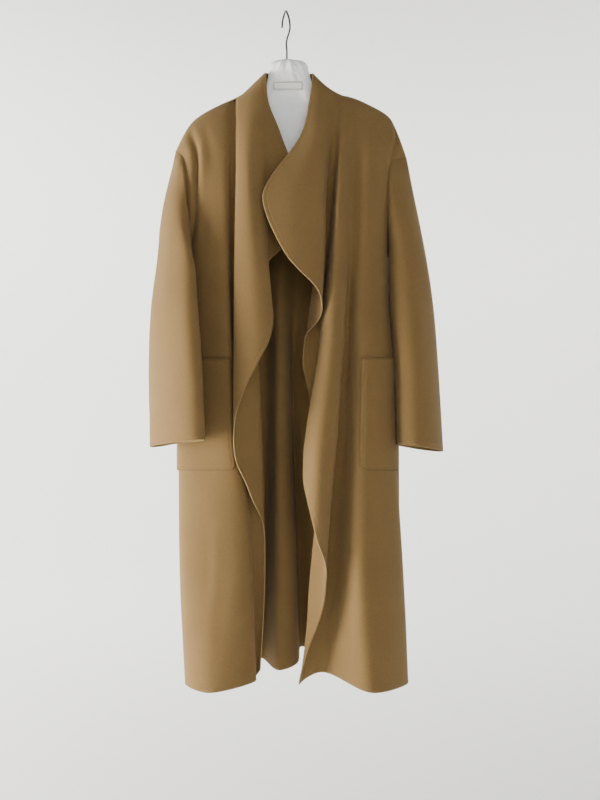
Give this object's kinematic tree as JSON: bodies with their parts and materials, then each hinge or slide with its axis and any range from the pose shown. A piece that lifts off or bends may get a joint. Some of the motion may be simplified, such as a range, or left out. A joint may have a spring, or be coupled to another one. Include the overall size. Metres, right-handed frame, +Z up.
{
  "type": "wool overcoat on a hanger",
  "caption": "Long open wool overcoat with draped lapels and two patch pockets, hanging on a covered hanger with a wire hook.",
  "frame": {"origin": "top of the inside of the hanger's hook, where what holds the hanger touches it", "axes": "+Z up, the coat's front towards -Y, the wearer's left towards +X"},
  "size_m": [0.5505, 0.1982, 1.2713],
  "materials": {
    "wool": "camel double-faced wool, brushed and matt",
    "cover_cotton": "white plain-woven cotton",
    "label_cotton": "white woven tape, blank",
    "beech": "plain beech, hidden inside the cover",
    "steel": "round wire, satin"
  },
  "bodies": {
    "root": {"back_lower": "wool", "back_middle": "wool", "back_upper": "wool", "collar_back": "wool", "front_left_lower": "wool", "front_left_middle": "wool", "front_left_upper": "wool", "front_right_lower": "wool", "front_right_middle": "wool", "front_right_upper": "wool", "hanger_arms": "beech", "hanger_cover": "cover_cotton", "hanger_hook": "steel", "hanger_label": "label_cotton", "pocket_left": "wool", "pocket_right": "wool", "sleeve_left_lower": "wool", "sleeve_left_upper": "wool", "sleeve_right_lower": "wool", "sleeve_right_upper": "wool"}
  },
  "joints": []
}
